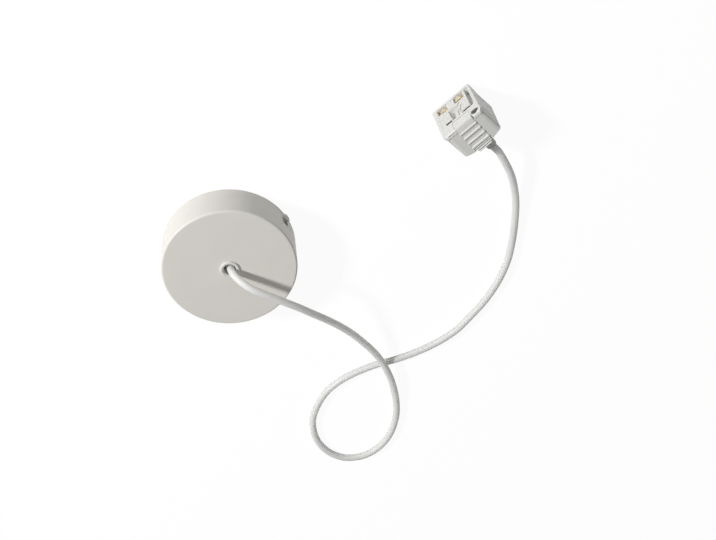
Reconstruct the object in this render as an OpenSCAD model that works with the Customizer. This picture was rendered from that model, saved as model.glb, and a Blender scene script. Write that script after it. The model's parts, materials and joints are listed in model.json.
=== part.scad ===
// Ceiling power feed for a lighting track: a round canopy with its strap and
// wiring, a round supply cord, and a track connector with a sprung locking slide.
// Units are millimetres. The canopy stands on its open back, with its face up.

/* [Canopy] */
// Outside diameter of the canopy cup
canopy_d = 120; // [110:1:135]
// Height of the canopy cup from its back rim to its face
canopy_h = 36.6; // [34:0.2:42]
// Sheet thickness of the canopy cup
canopy_wall = 1.2; // [1:0.1:1.6]
// Outer radius between the face and the side wall
canopy_edge_r = 2; // [1.2:0.1:4]

/* [Cord bushing] */
// Bore of the bushing, which leaves play round the cord
bushing_bore_d = 11; // [10.4:0.1:11.6]
// Outside diameter of the bushing's flange
bushing_flange_d = 17; // [16:0.5:21]
// Outside diameter of the bushing's threaded stem
bushing_stem_d = 13.8; // [13.4:0.1:14.6]
// Height of the flange above the face
bushing_flange_h = 1.8; // [1.4:0.1:2.6]
// Length of the stem below the top of the face
bushing_stem_l = 9.2; // [8:0.2:10.4]
// Size across the flats of the bushing's nut
nut_flats = 19; // [18:0.5:22]
// Thickness of the bushing's nut
nut_t = 4; // [3:0.25:5]

/* [Mounting strap] */
// Thickness of the strap's sheet steel
strap_t = 2; // [1.6:0.1:2.4]
// Width of the strap
strap_w = 30; // [26:1:36]
// Height of the tabs that the side screws hold
tab_h = 12.4; // [12:0.1:12.8]
// Width of the tabs
tab_w = 15; // [12:0.5:17]
// Distance between the two ceiling slots
slot_spacing = 90; // [88:1:92]
// Width of the ceiling slots
slot_w = 5.2; // [4.4:0.1:6]
// Length of the ceiling slots, end to end
slot_l = 11; // [8:0.5:12]
// Diameter of the hole for the ceiling's own cable
cable_hole_d = 14; // [12:0.5:16]

/* [Side screws] */
// Shank diameter of the two side screws
side_screw_d = 3.9; // [3.5:0.1:4.2]
// Head diameter of the two side screws
side_head_d = 7.6; // [7:0.1:8.4]
// Head height of the two side screws
side_head_h = 2.6; // [1.8:0.1:3]
// Height of the side screws above the back rim
side_screw_z = 7; // [6.8:0.1:7.2]
// Diameter of the keyholes' wide end, which passes over the screws' heads
keyhole_d = 8.8; // [8.6:0.1:9.2]
// How far the keyholes' wide end lies above the screws
keyhole_rise = 5.2; // [4.8:0.1:5.6]

/* [Terminal block] */
// Distance between neighbouring poles
pole_pitch = 9; // [8.8:0.1:9.4]
// Length of the block across its poles' wires
block_w = 17; // [16:0.5:20]
// Height of the block's wide base
block_base_h = 8.6; // [8:0.1:9.2]
// Height of the block's narrow ridge
block_ridge_h = 3.4; // [3:0.1:4]
// Side of the square brass tubes
brass_side = 5; // [4.6:0.1:5.2]

/* [Cord] */
// Outside diameter of the supply cord
cord_d = 6.8; // [6.4:0.1:7]
// Outside diameter of the three inner leads
lead_d = 2.2; // [1.8:0.1:2.4]

/* [Connector housing] */
// Width of the connector
conn_w = 39; // [38:0.5:44]
// Height of the connector
conn_h = 42; // [41:0.5:46]
// Depth of the connector from its mouth to its rear corners
conn_l = 29.5; // [29:0.5:34]
// Thickness of the connector's side walls
conn_wall = 3.5; // [3:0.1:3.8]
// Thickness of the connector's bottom wall
conn_floor = 3; // [2.4:0.1:3.2]
// Depth of the collar round the mouth, at its top
collar_l = 6; // [5.6:0.1:6.6]
// How far the collar stands out above the housing
collar_step = 0.5; // [0.3:0.1:0.8]
// How far the collar's lower lip stands forward
chin = 3; // [2.4:0.1:3.4]
// How far the collar's front leans back at its top
brow = 2.4; // [1.8:0.1:2.8]
// How far the collar stands out beside the corner guide hole
collar_near = 0.4; // [0.2:0.1:0.8]
// How far the collar stands out on the other side
collar_far = 2.6; // [2:0.1:3]
// Height of the solid head of the housing, above the mouth
head_h = 12.5; // [12.1:0.1:13]
// Thickness of the rear cover at its corners
cover_t = 3; // [2.6:0.1:3.6]
// How far the rear cover bulges at its middle
cover_bulge = 2.5; // [1.6:0.1:3]

/* [Locking slide] */
// Width of the slide's ribbed plate
slide_w = 17.4; // [16:0.2:17.8]
// Travel of the slide towards the rear
slide_travel = 4; // [3:0.25:4]
// Distance between the slide's thumb ribs
rib_pitch = 5.7; // [5.2:0.1:5.8]
// Radius of the slide's thumb ribs
rib_r = 1.4; // [1.1:0.1:1.6]

/* [Strain relief] */
// Length of the tapered sleeve behind the rear cover
relief_l = 16; // [14:0.5:18]
// Diameter of the sleeve at the rear cover
relief_root_d = 13; // [12.4:0.1:13.4]
// Diameter of the sleeve at its tip
relief_tip_d = 9.2; // [8.8:0.1:10]

/* [Hidden] */
$fn = 64;

// Clearances
fit_gap = 0.05;
run_gap = 0.2;
seat_gap = 0.3;

// Canopy
canopy_r = canopy_d / 2;
face_under = canopy_h - canopy_wall;
inner_edge_r = max(canopy_edge_r - canopy_wall, 0.5);
bushing_hole_r = bushing_stem_d / 2 + 0.15;
lip_r = 1.6;
crest_r = bushing_flange_h / 2;
stem_bottom = canopy_h - bushing_stem_l;

// Strap and its tabs
tab_bend_in = 1.5;
tab_bend_out = tab_bend_in + strap_t;
// The tab's outer corners stay clear of the round wall
tab_x = sqrt(pow(canopy_r - canopy_wall - seat_gap, 2) - pow(tab_w / 2, 2));
strap_half = tab_x - tab_bend_out;
side_hole_r = side_screw_d / 2 + 0.4;
tab_thread_r = side_screw_d / 2 + fit_gap;
side_screw_end = tab_x - strap_t - 2;

// Terminal block
block_ridge_w = 9;
block_l = 3 * pole_pitch + 1;
block_x = -9 - block_l / 2;
wire_z = strap_t + block_base_h / 2 + 0.4;
pole_x = [for (i = [-1:1]) block_x + i * pole_pitch];
brass_l = block_w - 2;
well_y = 4;
well_r = 1.9;
block_top = strap_t + block_base_h + block_ridge_h;
wire_bore_r = lead_d / 2 + 0.35;
block_screw_x = [pole_x[0] + pole_pitch / 2, pole_x[1] + pole_pitch / 2];
block_screw_r = 1.5;
block_head_r = 2.6;
block_head_h = 1.5;

// Earth terminal on the strap
earth_x = 26;
ring_turn = 145;
earth_screw_r = 1.95;
ring_t = 0.8;

// Ways of the leads in the canopy, chosen by hand, and their reach into the block
live_way = [[14, -16, 5], [-4, -40, 4]];
live_reach = 23;
neutral_way = [[3, -12, 6], [-8, -28, 7]];
neutral_reach = 15;
earth_way = [[-2, -8, 9], [-5, -17, 9]];
earth_reach = 9;
link_way = [[-4, 26, 6]];
link_reach = 12;
link_end = 8;

// Cord, its clamp in the canopy, and where its sheath ends
cord_r = cord_d / 2;
lie_z = 3.5;
clamp_split = 0.6;
clamp_h = 9;
clamp_depth = 7.5;
clamp_w = 24;
clamp_top = stem_bottom - seat_gap;
clamp_bottom = clamp_top - clamp_h;
clamp_screw_x = 8.4;
clamp_screw_r = 1.45;
sheath_end = clamp_bottom - 3;
bend_start = stem_bottom + 0.2;
core_r = 1.5;

// Connector placement on the table: middle of its mouth's lower edge, and its turn
conn_pos = [-241.5, -16, 0];
conn_turn = 11.5;

// Connector housing
corner_r = 4;
body_half = conn_w / 2 - collar_step;
body_top = conn_h - collar_step;
shell_end = conn_l - cover_t;
mouth_half = conn_w / 2 - conn_wall - collar_step;
mouth_near = mouth_half + 0.6;
mouth_far = mouth_half + 2.3;
mouth_step = 5;
lean = (chin + brow) / conn_h;
function front_y(z) = lean * z - chin;
mouth_top = conn_h - head_h;
boss_side = 5.6;
cover_screw_r = 1.2;
cover_head_r = 2.2;
upper_screw = [conn_w / 2 - 5.2, conn_h - 5.8];
lower_screw = [conn_w / 2 - 4.9, 5.4];
cord_z = conn_h / 2;
cover_back = conn_l + cover_bulge;

// Locking slide
slide_top = conn_h;
plate_t = 2.2;
plate_low = slide_top - plate_t;
tee_half = slide_w / 2 + 1.2;
tee_t = 1.8;
tee_top = plate_low - 0.4;
tee_low = tee_top - tee_t;
flange_t = 2.2;
flange_low = mouth_top + 2.5;
pocket_end = brow + flange_t + slide_travel + 0.6;
tee_start = pocket_end + 0.4;
tee_end = shell_end - slide_travel - 0.6;
lug_w = 4.4;
lug_start = 9.4;
lug_end = 12;
lug_low = tee_low - 4.5;
spring_wire_r = 0.35;
spring_coil_r = 1.75;
spring_turns = 7;
spring_pocket_end = 23.4;
thumb_front = cover_back + seat_gap;
thumb_l = 2.8;
thumb_round = 11;
thumb_crown = 1.6;
thumb_low = conn_h - 12;
first_rib = 9.4;

// Guide hole in the collar's upper corner
guide_w = 6.8;
guide_h = 4.4;
guide_x = -conn_w / 2 + 5.5;
guide_z = conn_h - 4.1;
guide_end = shell_end - 11;

// Contact carrier and contacts
nose_left = -12.2;
nose_right = mouth_half - 0.4;
nose_far = mouth_far - run_gap;
nose_back = 0.8;
nose_low = conn_floor + 1.2;
nose_top = mouth_top - 3.7;
nose_skin = 0.6;
nose_step = 4.4;
carrier_base = 11.8;
carrier_end = 14.4;
arch_left = -3.4;
arch_right = 8.4;
arch_narrow = 3.3;
arch_low = 13;
arch_end = 5;
fin_right = -0.4;
contact_t = 0.6;
contact_h = 5.4;
contact_low = nose_low + 0.5;
contact_span = 9;
contact_bow = 2.4;
contact_back = 0.7;
live_x = -5.2;
live_slant = 16;
neutral_x = 12.2;
box_low = contact_low + 2.3;
earth_box_low = box_low + 3;
lead_depth = 1.5;
earth_x_conn = (arch_left + arch_right - arch_narrow) / 2;
earth_leaf = arch_end - 0.2;
tail_end = 20;
tail_box = 5;
relief_flange_r = 9;
relief_flange_t = 1.8;
relief_bore_r = cord_r + fit_gap;
relief_end = cover_back + relief_l;
clamp2_l = 4.6;
clamp2_start = shell_end - clamp2_l - seat_gap;
clamp2_w = 20;
clamp2_depth = 6.2;
clamp2_screw_x = 6.8;
cord_inner_end = clamp2_start - 0.8;

// Route of the cord's free run. The middle points are chosen by hand.
function conn_point(y, z) = conn_pos
    + [-sin(conn_turn) * y, cos(conn_turn) * y, z];
route_start = [[0, 0, sheath_end], [0, 0, (sheath_end + bend_start) / 2], [0, 0, bend_start]];
route_run = [
    [-0.6, 1, 36.2], [-2.5, 4.3, 44], [-5.9, 9.9, 50.2], [-9.9, 16.6, 54.1],
    [-14.6, 24.5, 55.6], [-20, 34, 55.4], [-26, 46, 54], [-32, 60, 51],
    [-36, 73, 47], [-39.5, 86, 42], [-43, 100, 36.6], [-46, 115, 31],
    [-48.4, 130, 26], [-50, 146, 21.5], [-51, 166, 16], [-50, 187, 11.4], [-46, 211, 9.2], [-41, 227, 6.8],
    [-34, 244, 4.6], [-26, 258, 3.6], [-16, 270, lie_z], [-2, 281, lie_z],
    [14, 287, lie_z], [30, 287, lie_z], [45, 280, lie_z], [54, 268, lie_z],
    [58, 250, lie_z], [55, 232, lie_z], [46, 215, lie_z], [32, 202, lie_z],
    [16, 193, lie_z], [-2, 189, lie_z], [-20, 189, lie_z], [-40, 192, lie_z],
    [-62, 198, lie_z], [-85, 202, lie_z], [-104, 203, lie_z], [-125, 201, lie_z],
    [-146, 194, lie_z], [-167, 185, lie_z], [-188, 172, lie_z], [-206, 156, lie_z],
    [-220, 138, lie_z], [-231, 121, 4], [-240, 104, 6.2], [-247, 85, 10],
    [-251, 68, 14.4], [-252.5, 52, 18.4]];
route_end = [conn_point(cover_back + 24, cord_z - 0.6), conn_point(relief_end, cord_z),
    conn_point(conn_l, cord_z), conn_point(cord_inner_end, cord_z)];
cord_route = concat(route_start, route_run, route_end);

// Tube swept along a list of points, with its frame carried from ring to ring
function unit(v) = v / norm(v);
function turn_about(v, k, a) = v * cos(a) + cross(k, v) * sin(a) + k * (k * v) * (1 - cos(a));
function directions(p) = [for (i = [0:len(p) - 1])
    unit(p[min(i + 1, len(p) - 1)] - p[max(i - 1, 0)])];
function carried(u, a, b) = let (c = cross(a, b), s = norm(c))
    s < 0.00001 ? u : turn_about(u, c / s, atan2(s, a * b));
function frames(d, u, i = 0) = i == len(d) - 1 ? [u]
    : concat([u], frames(d, unit(carried(u, d[i], d[i + 1])), i + 1));
function first_side(d) = unit(cross(d, abs(d[2]) < 0.9 ? [0, 0, 1] : [1, 0, 0]));

module tube_along(p, r, sides) {
    d = directions(p);
    u = frames(d, first_side(d[0]));
    n = len(p);
    rings = [for (i = [0:n - 1], k = [0:sides - 1])
        p[i] + r * (cos(360 * k / sides) * u[i] + sin(360 * k / sides) * cross(d[i], u[i]))];
    walls = [for (i = [0:n - 2], k = [0:sides - 1])
        [i * sides + k, i * sides + (k + 1) % sides,
            (i + 1) * sides + (k + 1) % sides, (i + 1) * sides + k]];
    first_cap = [for (k = [sides - 1:-1:0]) k];
    last_cap = [for (k = [0:sides - 1]) (n - 1) * sides + k];
    polyhedron(points = rings, faces = [for (f = concat([first_cap], walls, [last_cap]))
        [for (j = [len(f) - 1:-1:0]) f[j]]], convexity = 10);
}

// Point at t of the smooth curve that a list of control points draws
function curve_at(c, t) = len(c) == 1 ? c[0]
    : curve_at([for (i = [0:len(c) - 2]) c[i] * (1 - t) + c[i + 1] * t], t);
// Lead that leaves a along da and reaches b along db, both ends straight
function lead_points(a, da, middle, b, db, steps = 12) = let (u = unit(da), v = unit(db),
    c = concat([a + 0.8 * u, a + 0.8 * u + da], middle, [b - 1.6 * v - db, b - 1.6 * v]))
    concat([a], [for (i = [0:steps]) curve_at(c, i / steps)], [b]);

// Rectangle with round corners, centred on x and standing on y = 0
module round_rect(w, h, r) {
    translate([-w / 2 + r, 0]) square([w - 2 * r, h]);
    translate([-w / 2, r]) square([w, h - 2 * r]);
    for (x = [-w / 2 + r, w / 2 - r], y = [r, h - r]) translate([x, y]) circle(r);
}

// Slot with round ends, along x
module slot_shape(length, width) {
    square([length - width, width], center = true);
    for (s = [-1, 1]) translate([s * (length - width) / 2, 0]) circle(width / 2);
}

// Turned pan head on z = 0 with its shank below
module pan_screw(head_r, head_h, shank_r, shank_l) {
    edge = head_h * 0.45;
    difference() {
        union() {
            rotate_extrude() {
                square([head_r, head_h - edge]);
                square([head_r - edge, head_h]);
                translate([head_r - edge, head_h - edge]) circle(edge, $fn = 24);
            }
            translate([0, 0, -shank_l]) cylinder(r = shank_r, h = shank_l);
        }
        for (a = [0, 90])
            rotate(a) translate([-head_r * 0.62, -head_r * 0.11, head_h * 0.4])
                cube([head_r * 1.24, head_r * 0.22, head_h]);
    }
}

// Canopy

module canopy_profile() {
    difference() {
        union() {
            square([canopy_r, canopy_h - canopy_edge_r]);
            square([canopy_r - canopy_edge_r, canopy_h]);
            translate([canopy_r - canopy_edge_r, canopy_h - canopy_edge_r])
                circle(canopy_edge_r);
        }
        union() {
            translate([0, -1])
                square([canopy_r - canopy_wall, face_under - inner_edge_r + 1]);
            translate([0, -1])
                square([canopy_r - canopy_wall - inner_edge_r, face_under + 1]);
            translate([canopy_r - canopy_wall - inner_edge_r, face_under - inner_edge_r])
                circle(inner_edge_r);
        }
        square([bushing_hole_r, canopy_h + 1]);
    }
}

// Keyhole, drawn with its narrow end on the origin and its wide end towards +y
module keyhole_shape() {
    circle(side_hole_r);
    translate([-side_hole_r, 0]) square([2 * side_hole_r, keyhole_rise]);
    translate([0, keyhole_rise]) circle(keyhole_d / 2);
}

module canopy_cup() color("gainsboro") difference() {
    rotate_extrude($fn = 128) canopy_profile();
    for (s = [-1, 1])
        translate([s * (canopy_r - canopy_wall / 2 - 1), 0, side_screw_z])
            rotate([90, 0, s * 90]) translate([0, 0, -canopy_wall / 2 - 1])
                linear_extrude(canopy_wall + 4) keyhole_shape();
}

module tab_profile() difference() {
    union() {
        translate([-2, 0]) square([2 + tab_bend_out, strap_t]);
        translate([tab_bend_in, 0]) square([strap_t, tab_h]);
        difference() {
            translate([0, strap_t - 0.5]) square(tab_bend_in + 0.5);
            translate([0, tab_bend_out]) circle(tab_bend_in);
        }
    }
    difference() {
        translate([0, -1]) square(tab_bend_out + 1);
        translate([0, tab_bend_out]) circle(tab_bend_out);
    }
}

module strap_outline() {
    square([2 * strap_half, tab_w], center = true);
    neck = strap_half - 5;
    square([2 * neck, strap_w - 4], center = true);
    square([2 * neck - 4, strap_w], center = true);
    for (sx = [-1, 1], sy = [-1, 1])
        translate([sx * (neck - 2), sy * (strap_w / 2 - 2)]) circle(2);
}

module mounting_strap() color("silver") difference() {
    union() {
        linear_extrude(strap_t) strap_outline();
        for (s = [0, 1]) mirror([s, 0, 0])
            translate([strap_half, tab_w / 2, 0]) rotate([90, 0, 0])
                linear_extrude(tab_w) tab_profile();
    }
    for (s = [-1, 1])
        translate([s * slot_spacing / 2, 0, -1]) linear_extrude(strap_t + 2)
            slot_shape(slot_l, slot_w);
    translate([0, 0, -1]) cylinder(d = cable_hole_d, h = strap_t + 2);
    for (x = block_screw_x)
        translate([x, 0, -1]) cylinder(r = block_screw_r + fit_gap, h = strap_t + 2);
    translate([earth_x, 0, -1]) cylinder(r = earth_screw_r + fit_gap, h = strap_t + 2);
    for (s = [-1, 1])
        translate([s * (tab_x - strap_t - 1), 0, side_screw_z]) rotate([0, s * 90, 0])
            cylinder(r = tab_thread_r, h = strap_t + 2);
}

module side_screws() color("gainsboro")
    for (s = [-1, 1])
        translate([s * canopy_r, 0, side_screw_z]) rotate([0, s * 90, 0])
            pan_screw(side_head_d / 2, side_head_h, side_screw_d / 2,
                canopy_r - side_screw_end);

module cord_bushing() color("white") rotate_extrude() difference() {
    union() {
        translate([0, stem_bottom]) square([bushing_stem_d / 2, bushing_stem_l]);
        translate([0, canopy_h]) square([bushing_flange_d / 2, bushing_flange_h - crest_r]);
        translate([0, canopy_h]) square([bushing_flange_d / 2 - crest_r, bushing_flange_h]);
        translate([bushing_flange_d / 2 - crest_r, canopy_h + bushing_flange_h - crest_r])
            circle(crest_r);
    }
    translate([0, stem_bottom - 1]) square([bushing_bore_d / 2, bushing_stem_l
        + bushing_flange_h + 2]);
    difference() {
        translate([0, canopy_h + bushing_flange_h - lip_r])
            square([bushing_bore_d / 2 + lip_r, lip_r + 1]);
        translate([bushing_bore_d / 2 + lip_r, canopy_h + bushing_flange_h - lip_r])
            circle(lip_r);
    }
}

module bushing_nut() color("white") difference() {
    translate([0, 0, face_under - nut_t])
        cylinder(r = nut_flats / 2 / cos(30), h = nut_t, $fn = 6);
    translate([0, 0, face_under - nut_t - 1])
        cylinder(r = bushing_stem_d / 2 + fit_gap, h = nut_t + 2);
}

// Half of a clamp round the cord, on the +y side of a cord that runs along z
module clamp_half(width, depth, height, screw_x, threaded) {
    difference() {
        translate([0, clamp_split / 2, 0]) linear_extrude(height)
            round_rect(width, depth, 1);
        translate([0, 0, -1]) cylinder(r = cord_r + fit_gap, h = height + 2);
        for (s = [-1, 1])
            translate([s * screw_x, 0, height / 2]) rotate([-90, 0, 0])
                cylinder(r = threaded ? clamp_screw_r + fit_gap : clamp_screw_r + 0.25,
                    h = depth + 2);
    }
}

module cord_clamp_left() color("whitesmoke") translate([0, 0, clamp_bottom])
    clamp_half(clamp_w, clamp_depth, clamp_h, clamp_screw_x, false);

module cord_clamp_right() color("whitesmoke") translate([0, 0, clamp_bottom]) rotate(180)
    clamp_half(clamp_w, clamp_depth, clamp_h, clamp_screw_x, true);

module cord_clamp_screws() color("silver")
    for (s = [-1, 1])
        translate([s * clamp_screw_x, clamp_split / 2 + clamp_depth,
            clamp_bottom + clamp_h / 2]) rotate([-90, 0, 0])
            pan_screw(2.6, 1.8, clamp_screw_r, 2 * clamp_depth);

module terminal_block() color("white") difference() {
    translate([block_x, 0, strap_t]) union() {
        translate([-block_l / 2, -block_w / 2, 0]) cube([block_l, block_w, block_base_h]);
        for (x = pole_x)
            translate([x - block_x - pole_pitch / 2 + 0.8, -block_ridge_w / 2 - 1.4, 0])
                cube([pole_pitch - 1.6, block_ridge_w + 2.8, block_base_h + block_ridge_h]);
        translate([-block_l / 2, -block_ridge_w / 2, 0])
            cube([block_l, block_ridge_w, block_base_h + 1.2]);
    }
    for (x = pole_x) {
        translate([x, 0, wire_z])
            cube([brass_side + 2 * fit_gap, block_w + 2, brass_side + 2 * fit_gap],
                center = true);
        for (s = [-1, 1])
            translate([x, s * well_y, wire_z]) cylinder(r = well_r + run_gap, h = block_top);
    }
    for (x = block_screw_x) {
        translate([x, 0, 0]) cylinder(r = block_screw_r + 0.15, h = block_top);
        translate([x, 0, block_top - block_ridge_h + 0.6])
            cylinder(r = block_head_r + run_gap, h = block_top);
    }
}

module terminal_tubes() color("goldenrod")
    for (x = pole_x) difference() {
        translate([x, 0, wire_z]) cube([brass_side, brass_l, brass_side], center = true);
        translate([x, brass_l / 2 + 1, wire_z]) rotate([90, 0, 0])
            cylinder(r = wire_bore_r, h = brass_l + 2);
        for (s = [-1, 1])
            translate([x, s * well_y, wire_z]) cylinder(r = 1.25, h = brass_side);
    }

module terminal_screws() color("silver")
    for (x = pole_x, s = [-1, 1])
        translate([x, s * well_y, block_top - 2.6])
            pan_screw(well_r, 1.4, 1.25 - fit_gap, block_top - 2.6 - wire_z - wire_bore_r);

module block_screws() color("silver")
    for (x = block_screw_x)
        translate([x, 0, block_top - block_ridge_h + 0.6])
            pan_screw(block_head_r, block_head_h, block_screw_r,
                block_top - block_ridge_h + 0.6 - 0.2);

module earth_screw() color("silver") translate([earth_x, 0, strap_t + ring_t])
    pan_screw(3.8, 2.4, earth_screw_r, strap_t + ring_t - 0.2);

module earth_ring() color("silver") translate([earth_x, 0, strap_t]) {
    difference() {
        cylinder(r = 4.2, h = ring_t);
        translate([0, 0, -1]) cylinder(r = earth_screw_r + 0.15, h = ring_t + 2);
    }
    rotate(ring_turn) difference() {
        union() {
            translate([3.6, -1.6, 0]) cube([3.4, 3.2, ring_t]);
            translate([5.4, 0, lead_d / 2 + 0.6]) rotate([0, 90, 0])
                cylinder(r = lead_d / 2 + 0.6, h = 5.6);
        }
        translate([6.2, 0, lead_d / 2 + 0.6]) rotate([0, 90, 0])
            cylinder(r = lead_d / 2 + fit_gap, h = 6);
    }
}

function core(angle, z) = [core_r * cos(angle), core_r * sin(angle), z];
function pole_entry(i, side) = [pole_x[i], side * (brass_l / 2 - 2.5), wire_z];

module canopy_lead(i, angle, middle, reach) tube_along(
    lead_points(core(angle, sheath_end - fit_gap), [0, 0, -4.2], middle,
        pole_entry(i, -1), [0, reach, 0]), lead_d / 2 - fit_gap, 8);

module live_lead() color("saddlebrown")
    canopy_lead(0, 40, live_way, live_reach);
module neutral_lead() color("steelblue")
    canopy_lead(1, 280, neutral_way, neutral_reach);
module earth_lead() color("yellowgreen")
    canopy_lead(2, 160, earth_way, earth_reach);

ring_barrel = [earth_x, 0, strap_t + lead_d / 2 + 0.6];
ring_way = [cos(ring_turn), sin(ring_turn), 0];
module earth_link() color("yellowgreen") tube_along(
    lead_points(pole_entry(2, 1), [0, link_reach, 0], link_way,
        ring_barrel + 6.6 * ring_way, -link_end * ring_way), lead_d / 2 - fit_gap, 8);

module supply_cord() color("whitesmoke") tube_along(cord_route, cord_r, 10);

// Connector, in its own frame: mouth on y = 0, rear towards +y, centred on x

module in_connector() translate(conn_pos) rotate(conn_turn) children();

// Sweeps a front outline, drawn in x and z, along y
module along_y(y0, y1) translate([0, y1, 0]) rotate([90, 0, 0]) linear_extrude(y1 - y0)
    children();

// Hole along y through the point (x, z)
module hole_y(p, r, y0, y1) translate([p[0], y0, p[1]]) rotate([-90, 0, 0])
    cylinder(r = r, h = y1 - y0);

module body_outline() translate([0, collar_step])
    round_rect(2 * body_half, body_top - collar_step, corner_r - collar_step);

// Plan view of the collar with its front corners eased
module collar_plan(ease) {
    left = -conn_w / 2 - collar_near;
    right = conn_w / 2 + collar_far;
    reach = collar_l + chin + 6;
    translate([left, ease]) square([right - left, reach]);
    translate([left + ease, 0]) square([right - left - 2 * ease, reach]);
    for (x = [left + ease, right - ease]) translate([x, ease]) circle(ease);
}

// Side view of the collar in y and z, leaning back and eased at its upper edge
module collar_side(ease, slope) polygon([[front_y(ease), ease], [ease - chin, 0],
    [collar_l, 0], [collar_l, conn_h], [brow + slope, conn_h],
    [brow + slope * 0.4, conn_h - slope * 0.25],
    [front_y(conn_h - slope * 0.8), conn_h - slope * 0.8]]);

module collar() intersection() {
    translate([(collar_far - collar_near) / 2, 0, 0]) along_y(-chin, collar_l)
        round_rect(conn_w + collar_near + collar_far, conn_h, corner_r);
    translate([0, -chin, 0]) rotate([-atan(lean), 0, 0]) translate([0, 0, -conn_h / 2])
        linear_extrude(2 * conn_h) collar_plan(1.2);
    translate([-conn_w, 0, 0]) rotate([90, 0, 90]) linear_extrude(2 * conn_w)
        collar_side(0.8, 2);
}

module mouth_outline() translate([0, conn_floor])
    round_rect(2 * mouth_half, mouth_top - conn_floor, 1);

module connector_shell() in_connector() color("white") difference() {
    union() {
        collar();
        along_y(collar_l - 0.01, shell_end) body_outline();
    }
    translate([-mouth_near, -chin - 1, conn_floor])
        cube([mouth_near + mouth_far, chin + 1 + mouth_step, mouth_top - conn_floor]);
    difference() {
        along_y(0, shell_end + 1) mouth_outline();
        for (s = [-1, 1])
            translate([s * mouth_half, (carrier_end + shell_end) / 2 + 1.5, conn_floor])
                cube([2 * (boss_side - 2), shell_end - carrier_end - 3, 2 * (boss_side - 2)],
                    center = true);
    }
    translate([-slide_w / 2 - run_gap, -chin - 1, flange_low - 0.6])
        cube([slide_w + 2 * run_gap, pocket_end + chin + 1, conn_h]);
    translate([-slide_w / 2 - run_gap, -1, plate_low - 0.2])
        cube([slide_w + 2 * run_gap, conn_l + 2, conn_h]);
    translate([-tee_half - run_gap, pocket_end - 0.2, tee_low - 0.2])
        cube([2 * (tee_half + run_gap), conn_l, tee_t + 0.4]);
    translate([-lug_w / 2 - 0.4, 0, lug_low - 0.4])
        cube([lug_w + 0.8, spring_pocket_end, tee_low - lug_low + 1]);
    translate([guide_x, 0, guide_z]) along_y(-chin - 1, pocket_end - 1)
        slot_shape(guide_w, guide_h);
    hole_y([guide_x - 0.8, guide_z], guide_h / 2 - 0.2, 0, guide_end);
    translate([-slide_w / 2 - 1.3, 0, slide_top - 3.2])
        cube([1.4, brow + 3.4, 4]);
    for (s = [-1, 1]) {
        hole_y([s * upper_screw[0], upper_screw[1]], cover_screw_r + fit_gap, shell_end - 8,
            shell_end + 1);
        hole_y([s * lower_screw[0], lower_screw[1]], cover_screw_r + fit_gap, shell_end - 8,
            shell_end + 1);
        translate([s * (body_half + 5.2), collar_l + 1.6, body_top - 8.4])
            rotate([-90, 0, 0]) cylinder(r = 6, h = shell_end - collar_l - 3.4);
    }
}

// Plan view of the rear cover, with round corners and a bulged back
module cover_plan() {
    corner = 2.6;
    bulge_r = (pow(body_half - corner, 2) + pow(cover_bulge, 2)) / (2 * cover_bulge);
    difference() {
        union() {
            translate([-body_half, shell_end]) square([2 * body_half, cover_t - corner]);
            translate([-body_half + corner, shell_end])
                square([2 * (body_half - corner), cover_t]);
            for (s = [-1, 1])
                translate([s * (body_half - corner), conn_l - corner]) circle(corner);
            intersection() {
                translate([0, cover_back - bulge_r]) circle(bulge_r, $fn = 180);
                translate([-body_half + corner, conn_l - 0.5])
                    square([2 * (body_half - corner), cover_bulge + 1]);
            }
        }
        translate([-conn_w, shell_end - 10]) square([2 * conn_w, 10]);
    }
}

module rear_cover() in_connector() color("white") difference() {
    intersection() {
        linear_extrude(conn_h) cover_plan();
        along_y(shell_end - 1, cover_back + 1) body_outline();
    }
    translate([-slide_w / 2 - run_gap, shell_end - 1, plate_low - 0.2])
        cube([slide_w + 2 * run_gap, cover_back, conn_h]);
    hole_y([0, cord_z], relief_root_d / 2 + fit_gap, shell_end - 1, cover_back + 1);
    hole_y([0, cord_z], relief_flange_r + fit_gap, shell_end - 1, shell_end
        + relief_flange_t + fit_gap);
    for (s = [-1, 1], p = [upper_screw, lower_screw]) {
        hole_y([s * p[0], p[1]], cover_screw_r + 0.25, shell_end - 1, cover_back + 1);
        hole_y([s * p[0], p[1]], cover_head_r + run_gap, conn_l - 1.6, cover_back + 1);
    }
}

module cover_screws() in_connector() color("silver")
    for (s = [-1, 1], p = [upper_screw, lower_screw])
        translate([s * p[0], conn_l - 1.6, p[1]]) rotate([-90, 0, 0])
            pan_screw(cover_head_r, 1.4, cover_screw_r, cover_t - 1.6 + 7.4);

module relief_profile() difference() {
    union() {
        square([relief_flange_r, relief_flange_t]);
        square([relief_root_d / 2, cover_back - shell_end]);
        translate([0, cover_back - shell_end]) polygon([[0, 0], [relief_root_d / 2, 0],
            [relief_tip_d / 2, relief_l - 1], [relief_tip_d / 2 - 0.8, relief_l],
            [0, relief_l]]);
    }
    translate([0, -1]) square([relief_bore_r, relief_l + cover_back - shell_end + 2]);
    for (i = [0:2])
        translate([relief_root_d / 2 - 0.1 - i * 0.5, cover_back - shell_end + 4.4 + i * 3.4])
            square([2, 1.3]);
}

module strain_relief() in_connector() color("whitesmoke")
    translate([0, shell_end, cord_z]) rotate([-90, 0, 0]) rotate_extrude() relief_profile();

module relief_clamp_half(threaded) rotate([-90, 0, 0])
    clamp_half(clamp2_w, clamp2_depth, clamp2_l, clamp2_screw_x, threaded);

module relief_clamp_lower() in_connector() color("whitesmoke")
    translate([0, clamp2_start, cord_z]) relief_clamp_half(true);

module relief_clamp_upper() in_connector() color("whitesmoke")
    translate([0, clamp2_start, cord_z]) rotate([0, 180, 0]) relief_clamp_half(false);

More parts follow.
